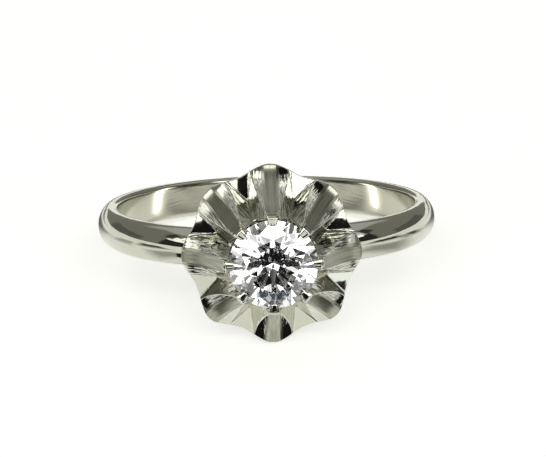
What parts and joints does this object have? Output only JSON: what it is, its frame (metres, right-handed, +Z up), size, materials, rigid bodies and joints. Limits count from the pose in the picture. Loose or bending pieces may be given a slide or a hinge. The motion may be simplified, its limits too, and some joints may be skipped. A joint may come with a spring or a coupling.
{
  "type": "diamond solitaire ring",
  "caption": "Finger ring with a plain half-round shank and a flat petalled flower whose raised ribs end in claws that hold one brilliant-cut diamond.",
  "frame": {"origin": "centre of the ring's footprint, on the plane that the ring lies on", "axes": "+Z up as the ring lies on its side, -Y from the finger hole towards the flower, +X to the right of a viewer who faces the flower"},
  "size_m": [0.0192, 0.0238, 0.0097],
  "materials": {
    "white_gold": "polished",
    "diamond": "faceted and polished"
  },
  "bodies": {
    "root": {"flower_ring": "white_gold", "diamond": "diamond"}
  },
  "joints": []
}
